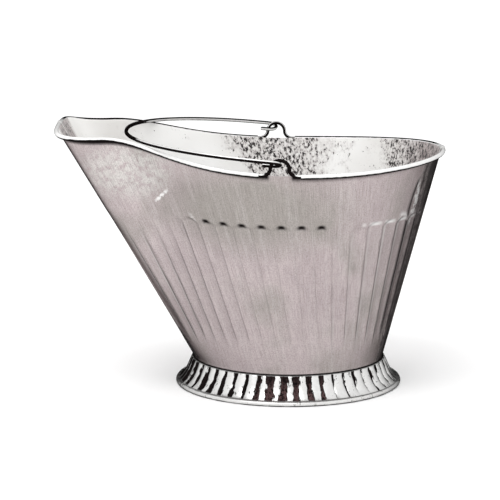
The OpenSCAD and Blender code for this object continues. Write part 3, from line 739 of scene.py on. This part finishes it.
def outer_zinc():
    """Dull warm zinc: its ground, painted shade in lines on the flutes and in dark dashes at their ends,
    painted highlights and painted shade.
    """
    f = Finish("outer_zinc")
    along, share = f.along(), f.mark("share")
    fine = f.noise(f.stretch(along, (1500, 45, 1)), 1.0, 3.0, 0.65)
    broad = f.noise(f.stretch(along, (160, 7, 1)), 1.0, 2.0, 0.5)
    mottle = f.noise(f.place, 130.0, 3.0, 0.7)
    colour = wall_ground(f, along, share, fine, broad, mottle)
    low = f.most(f.ramp(f.height(along), (0.42, 1.0), (0.78, 0.15)), f.ramp(share, (0.55, 0.0), (0.7, 1.0)))
    clear = f.ramp(share, (0.10, 0.9), (0.21, 0.9), (0.26, 0.4), (0.42, 0.08), (0.60, 0.08), (0.70, 0.35),
                   (0.82, 0.9))
    clear = f.times(clear, low, f.ramp(broad, (0.35, 0.5), (0.6, 1.0)))
    # Painted shade in dark lines along the ridges
    lines = f.times(f.mark("ridge"), clear, f.ramp(fine, (0.3, 0.4), (0.6, 1.0)))
    # The share of the rim where the flutes' end dashes are painted black as shade
    dark_end = f.ramp(share, (0.36, 0.0), (0.365, 1.0), (0.635, 1.0), (0.645, 0.0))
    glints = wall_glints(f, along, share, mottle)
    painted_shade = wall_painted_shade(f, share, lines, fine, broad, mottle, glints)
    # Painted highlight beside the ridges, painted shade in the dashes, painted highlights, painted shade
    # along the ridges, then the rest of the painted shade
    colour = f.mix(f.times(f.mark("ridge_light"), clear, 0.8), colour, RIDGE_LIGHT)
    colour = f.mix(f.times(f.mark("dash"), dark_end), colour, BLACK)
    colour = f.mix(glints, colour, GLINT)
    colour = f.mix(lines, colour, LINE_BLACK)
    colour = f.mix(painted_shade, colour, BLACK)
    normal = f.bump(fine, 0.15, 0.0003, f.bump(broad, 0.1, 0.001))
    return f.wear(base_color=colour, normal=normal, specular_tint=EDGE_TINT,
                  **f.dull(painted_shade, 0.97, 0.30), **f.edge_dark(0.79))


def inner_zinc():
    """Bright zinc with dark specks by the ears and at both ends, greyer and browner towards the ends."""
    f = Finish("inner_zinc")
    along = f.along()
    speck = f.noise(f.stretch(along, (290, 190, 1)), 1.0, 3.0, 0.75)
    blot = f.noise(f.place, 75.0, 3.0, 0.7)
    share = f.ragged(f.mark("share"), f.noise(f.place, 22.0, 3.0, 0.6), 0.09)
    up = f.ramp(f.height(along), (0.35, 0.25), (0.85, 1.0))
    patch = f.noise(f.place, 9.0, 2.0, 0.6)
    where = f.ramp(share, (0.02, 1.0), (0.065, 1.0), (0.10, 0.0), (0.44, 0.0), (0.475, 0.95), (0.60, 1.0),
                   (0.66, 0.3), (0.74, 0.2), (0.80, 1.0))
    where = f.ragged(f.times(where, up), blot, 1.9)
    specks = f.math("SUBTRACT", speck, f.math("SUBTRACT", 0.70, f.times(where, 0.170)))
    specks = f.ramp(specks, (0.0, 0.0), (0.012, 1.0))
    haze = f.times(f.ramp(speck, (0.40, 0.0), (0.52, 1.0)), f.ramp(where, (0.3, 0.0), (0.8, 1.0)), 0.55)
    grey = f.ramp(share, (0.065, 0.85), (0.10, 0.0), (0.42, 0.0), (0.48, 0.1), (0.62, 0.15), (0.66, 0.0),
                  (0.80, 0.05), (0.9, 0.8))
    grey = f.times(grey, up)
    brown = f.times(f.ramp(share, (0.78, 0.0), (0.88, 0.7)), f.ramp(blot, (0.42, 0.0), (0.6, 1.0)))
    colour = f.mix(f.ramp(patch, (0.35, 0.0), (0.65, 1.0)), INNER_ZINC, INNER_PALE)
    colour = f.mix(grey, colour, INNER_GREY)
    colour = f.mix(brown, colour, INNER_BROWN)
    colour = f.mix(haze, colour, INNER_HAZE)
    colour = f.mix(specks, colour, SPECK_BLACK)
    return f.wear(base_color=colour, metallic=0.2, roughness=0.45, normal=f.bump(speck, 0.12, 0.0004))


def bead_zinc(name, top_line):
    """Bright zinc of the curled rim, with painted shade along its underside and, on one half, in a line along
    its top.
    """
    f = Finish(name)
    mottle = f.noise(f.place, 180.0, 3.0, 0.6)
    colour = f.mix(f.ramp(mottle, (0.3, 0.0), (0.7, 1.0)), BEAD_ZINC, BEAD_PALE)
    wander = f.ragged(f.mark("roll"), mottle, 0.12)
    # Painted shade under the bead and, on one half, in a line along its top
    painted_shade = f.ramp(wander, (0.04, 0.0), (0.09, top_line), (0.36, top_line), (0.42, 0.0), (0.60, 0.0),
                  (0.66, 1.0))
    from_end = f.math("PINGPONG", f.mark("share"), 0.5)
    kept = f.most(f.ramp(from_end, (0.02, 0.0), (0.06, 1.0)), f.ramp(wander, (0.5, 0.0), (0.6, 1.0)))
    painted_shade = f.times(painted_shade, kept)
    colour = f.mix(painted_shade, colour, BLACK)
    return f.wear(base_color=colour, normal=f.bump(mottle, 0.1, 0.0005), **f.dull(painted_shade, 0.2, 0.4),
                  **f.edge_dark(0.9))


def bright_zinc():
    """Bright smooth zinc, mottled."""
    f = Finish("bright_zinc")
    mottle = f.noise(f.place, 220.0, 4.0, 0.65)
    colour = f.mix(f.ramp(mottle, (0.3, 0.0), (0.7, 1.0)), SMOOTH_ZINC, SMOOTH_PALE)
    return f.wear(base_color=colour, metallic=0.5, roughness=0.3, normal=f.bump(mottle, 0.1, 0.0005))


def foot_zinc():
    """Bright zinc of the foot ring.

    The crimps' valleys carry painted shade: wide, brown and speckled on the near and far sides, thin and
    black towards the front and the rear, where the flange carries painted shade too.
    """
    f = Finish("foot_zinc")
    groove, low, turn = f.mark("groove"), f.mark("low"), f.mark("turn")
    mottle = f.noise(f.place, 260.0, 4.0, 0.75)
    blot = f.noise(f.place, 70.0, 2.0, 0.6)
    streak = f.noise(f.stretch(f.along(), (480, 95, 1)), 1.0, 4.0, 0.7)
    ragged = f.times(f.math("SUBTRACT", f.math("ADD", streak, blot), 1.0), 1.15)
    band = f.ramp(low, (0.13, 0.0), (0.18, 1.0), (0.93, 1.0), (0.97, 0.0))

    # Parts of the turn, which starts at the rear: both sides, both ends, the spout's part and the rear's
    sides = f.ramp(turn, (0.19, 0.0), (0.205, 1.0), (0.295, 1.0), (0.31, 0.0),
                   (0.69, 0.0), (0.705, 1.0), (0.80, 1.0), (0.815, 0.0))
    ends = f.ramp(turn, (0.02, 1.0), (0.05, 0.0), (0.435, 0.0), (0.47, 1.0), (0.53, 1.0), (0.565, 0.0),
                  (0.95, 0.0), (0.98, 1.0))
    spout = f.ramp(turn, (0.28, 0.0), (0.34, 1.0), (0.66, 1.0), (0.71, 0.0))
    rear = f.ramp(turn, (0.10, 1.0), (0.19, 1.0), (0.21, 0.0), (0.79, 0.0), (0.81, 1.0))

    # How far into a valley the painted shade begins
    edge = f.math("SUBTRACT", 0.72, f.times(sides, 0.29))
    edge = f.math("SUBTRACT", edge, f.times(ends, 0.27))
    edge = f.math("SUBTRACT", edge, f.times(spout, 0.19))
    edge = f.math("ADD", edge, f.times(rear, f.math("SUBTRACT", 0.85, low), 0.3))
    depth = f.math("SUBTRACT", f.math("ADD", groove, ragged), edge)
    dark = f.times(f.ramp(depth, (0.0, 0.0), (0.06, 1.0)), band)
    brown = f.times(sides, band, f.ramp(depth, (0.05, 0.0), (0.2, 1.0)),
                    f.ramp(low, (0.5, 1.0), (0.85, 0.2)), f.ramp(mottle, (0.44, 0.0), (0.54, 1.0)), 0.9)
    # Painted shade on the flange at the front and the rear
    flange = f.times(ends, f.ramp(low, (0.03, 0.0), (0.10, 0.8), (0.16, 1.0), (0.40, 1.0), (0.60, 0.0)))
    flange = f.ragged(f.math("ADD", flange, ragged), mottle, 3.0)
    flange = f.times(f.ramp(flange, (0.3, 0.0), (0.55, 1.0)), 0.8)
    # Painted shade in a dark line along the bottom edge
    below = f.times(f.ramp(low, (0.035, 1.0), (0.06, 0.0)), f.ramp(blot, (0.35, 0.3), (0.5, 1.0)))
    collar = f.ramp(low, (0.93, 0.0), (0.97, 1.0))

    colour = f.mix(f.ramp(mottle, (0.3, 0.0), (0.7, 1.0)), BEAD_ZINC, FOOT_PALE)
    colour = f.mix(dark, colour, CRIMP_BLACK)
    colour = f.mix(brown, colour, CRIMP_BROWN)
    colour = f.mix(flange, colour, CRIMP_BLACK)
    colour = f.mix(below, colour, FLANGE_BLACK)
    colour = f.mix(collar, colour, COLLAR_BLACK)
    return f.wear(base_color=colour, normal=f.bump(mottle, 0.1, 0.0005), specular_tint=EDGE_TINT,
                  **f.dull(f.most(dark, flange, collar), 0.8, 0.28), **f.edge_dark(0.80))


def wire_zinc():
    """Zinc on drawn wire: bright on one side, black in its shadow side, with faint lumps."""
    f = Finish("wire_zinc")
    lump = f.noise(f.place, 160.0, 2.0, 0.5)
    colour = f.mix(f.ramp(lump, (0.35, 0.0), (0.7, 1.0)), WIRE_ZINC, WIRE_PALE)
    shade = f.ramp(f.ragged(f.mark("shade"), lump, 0.5), (0.25, 0.0), (0.55, 1.0))
    colour = f.mix(shade, colour, BLACK)
    return f.wear(base_color=colour, normal=f.bump(lump, 0.15, 0.0005), **f.dull(shade, 0.5, 0.3),
                  **f.edge_dark(0.88))


def plain(name, colour, roughness):
    """An even finish for the floor."""
    return Finish(name).wear(base_color=(*colour, 1), roughness=roughness)


# Pieces

zinc_out, zinc_in, zinc_foot = outer_zinc(), inner_zinc(), foot_zinc()
zinc_bright, zinc_wire = bright_zinc(), wire_zinc()

for node, side in (("near_shell", -1), ("far_shell", 1)):
    shell = half_shell(node + "_sheet", side)
    for finish in (zinc_out, zinc_in, bead_zinc(node + "_bead", 1.0 if side > 0 else 0.0)):
        shell.data.materials.append(finish)
    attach(shell, "hod")
    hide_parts(node)

loop, sides_out = rim_wire_loop()
rim_piece = tube("rim_wire_round", loop, sides_out, RIM_WIRE_R, True, rim_shade)
rim_piece.data.materials.append(zinc_wire)
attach(rim_piece, "hod")
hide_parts("rim_wire")

foot_piece = foot_band("foot_ring_crimped")
for finish in (zinc_foot, zinc_foot, zinc_foot):
    foot_piece.data.materials.append(finish)
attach(foot_piece, "hod")
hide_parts("foot_ring")

line, lean = bail_line(math.radians(BAIL_PITCH))
bail_piece = tube("bail_round", line, np.repeat(lean[None], len(line), 0), BAIL_SKIN_R, False, bail_shade)
bail_piece.data.materials.append(zinc_wire)
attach(bail_piece, "bail")
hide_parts("bail")

for node, finish in (("bottom_disc", zinc_bright), ("foot_wire", zinc_bright)):
    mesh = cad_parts[node].data
    mesh.materials.clear()
    mesh.materials.append(finish)

floor = floor_sheet()
floor.data.materials.append(plain("pale_floor", (0.96, 0.96, 0.96), 0.9))


# Light and camera, in metres and degrees

LAMP_AT, LAMP_AIM, LAMP_SIZE, LAMP_WATTS = (-0.6, -1.2, 2.3), (0, 0, 0.1), 1.6, 26
STUDIO_LIGHT = 1.14
CAMERA_AT, CAMERA_DOWN = (-0.00145, -2.3913, 0.5773), 10.204
CAMERA_SENSOR, CAMERA_LENS = 36, 158.7


def softbox(name, place, target, size, power):
    """A square area light at a place, facing a target."""
    light = bpy.data.lights.new(name, "AREA")
    light.size, light.energy = size, power
    lamp = bpy.data.objects.new(name, light)
    lamp.location = place
    lamp.rotation_euler = (Vector(target) - Vector(place)).to_track_quat("-Z", "Y").to_euler()
    scene.collection.objects.link(lamp)


softbox("top", LAMP_AT, LAMP_AIM, LAMP_SIZE, LAMP_WATTS)

world = bpy.data.worlds.new("studio")
world.use_nodes = True
world.node_tree.nodes["Background"].inputs["Color"].default_value = (1, 1, 1, 1)
world.node_tree.nodes["Background"].inputs["Strength"].default_value = STUDIO_LIGHT
scene.world = world
scene.view_settings.view_transform = "Standard"

camera = bpy.data.cameras.new("camera")
camera.sensor_width = CAMERA_SENSOR
camera.lens = CAMERA_LENS
eye = bpy.data.objects.new("camera", camera)
eye.location = CAMERA_AT
eye.rotation_euler = (math.radians(90 - CAMERA_DOWN), 0, 0)
scene.collection.objects.link(eye)
scene.camera = eye
